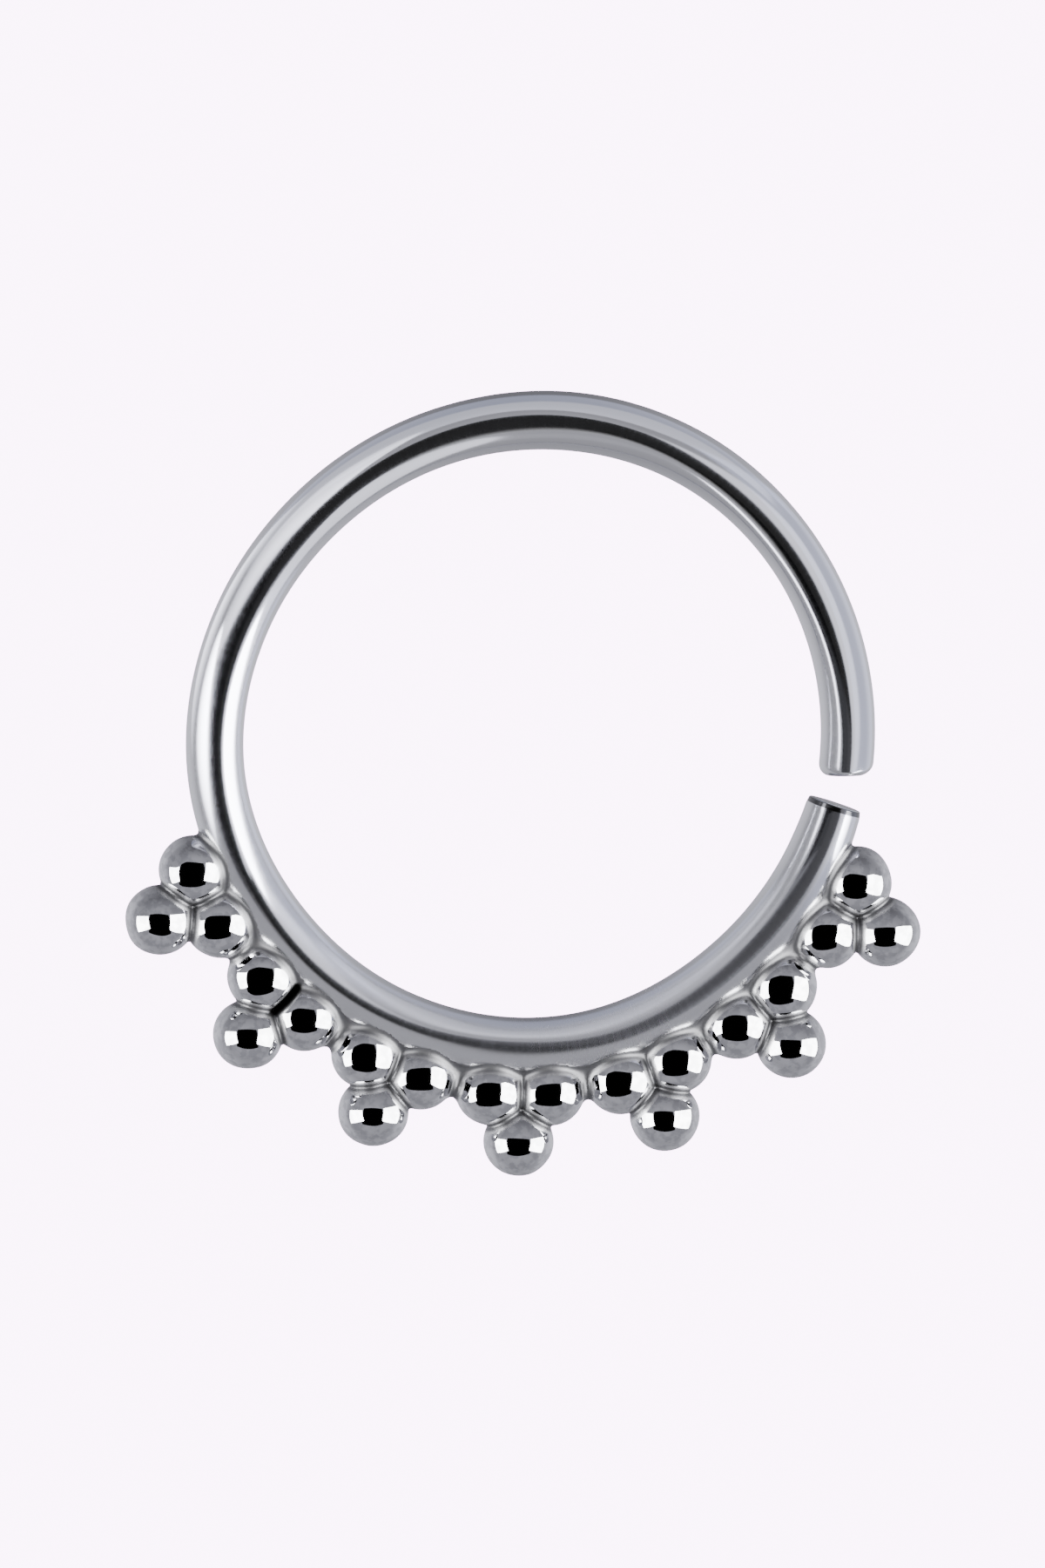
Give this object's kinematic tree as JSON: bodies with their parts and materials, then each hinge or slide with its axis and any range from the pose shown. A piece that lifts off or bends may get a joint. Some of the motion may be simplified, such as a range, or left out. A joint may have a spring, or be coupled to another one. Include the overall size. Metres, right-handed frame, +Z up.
{
  "type": "piercing ring",
  "caption": "Split hoop of round polished wire with a narrow opening and a row of three-ball clusters fused along its lower arc.",
  "frame": {"origin": "under the middle of the whole hoop's box, on the surface that the balls rest on", "axes": "+Z up along the hoop's axis, as the hoop lies on its side; the ball clusters run along its -Y side; the wire's opening faces +X, a little towards -Y"},
  "size_m": [0.014, 0.0138, 0.0012],
  "materials": {
    "steel": "polished steel, mirror bright on the balls and finely brushed on the wire"
  },
  "bodies": {
    "root": {"beaded_hoop": "steel"}
  },
  "joints": []
}
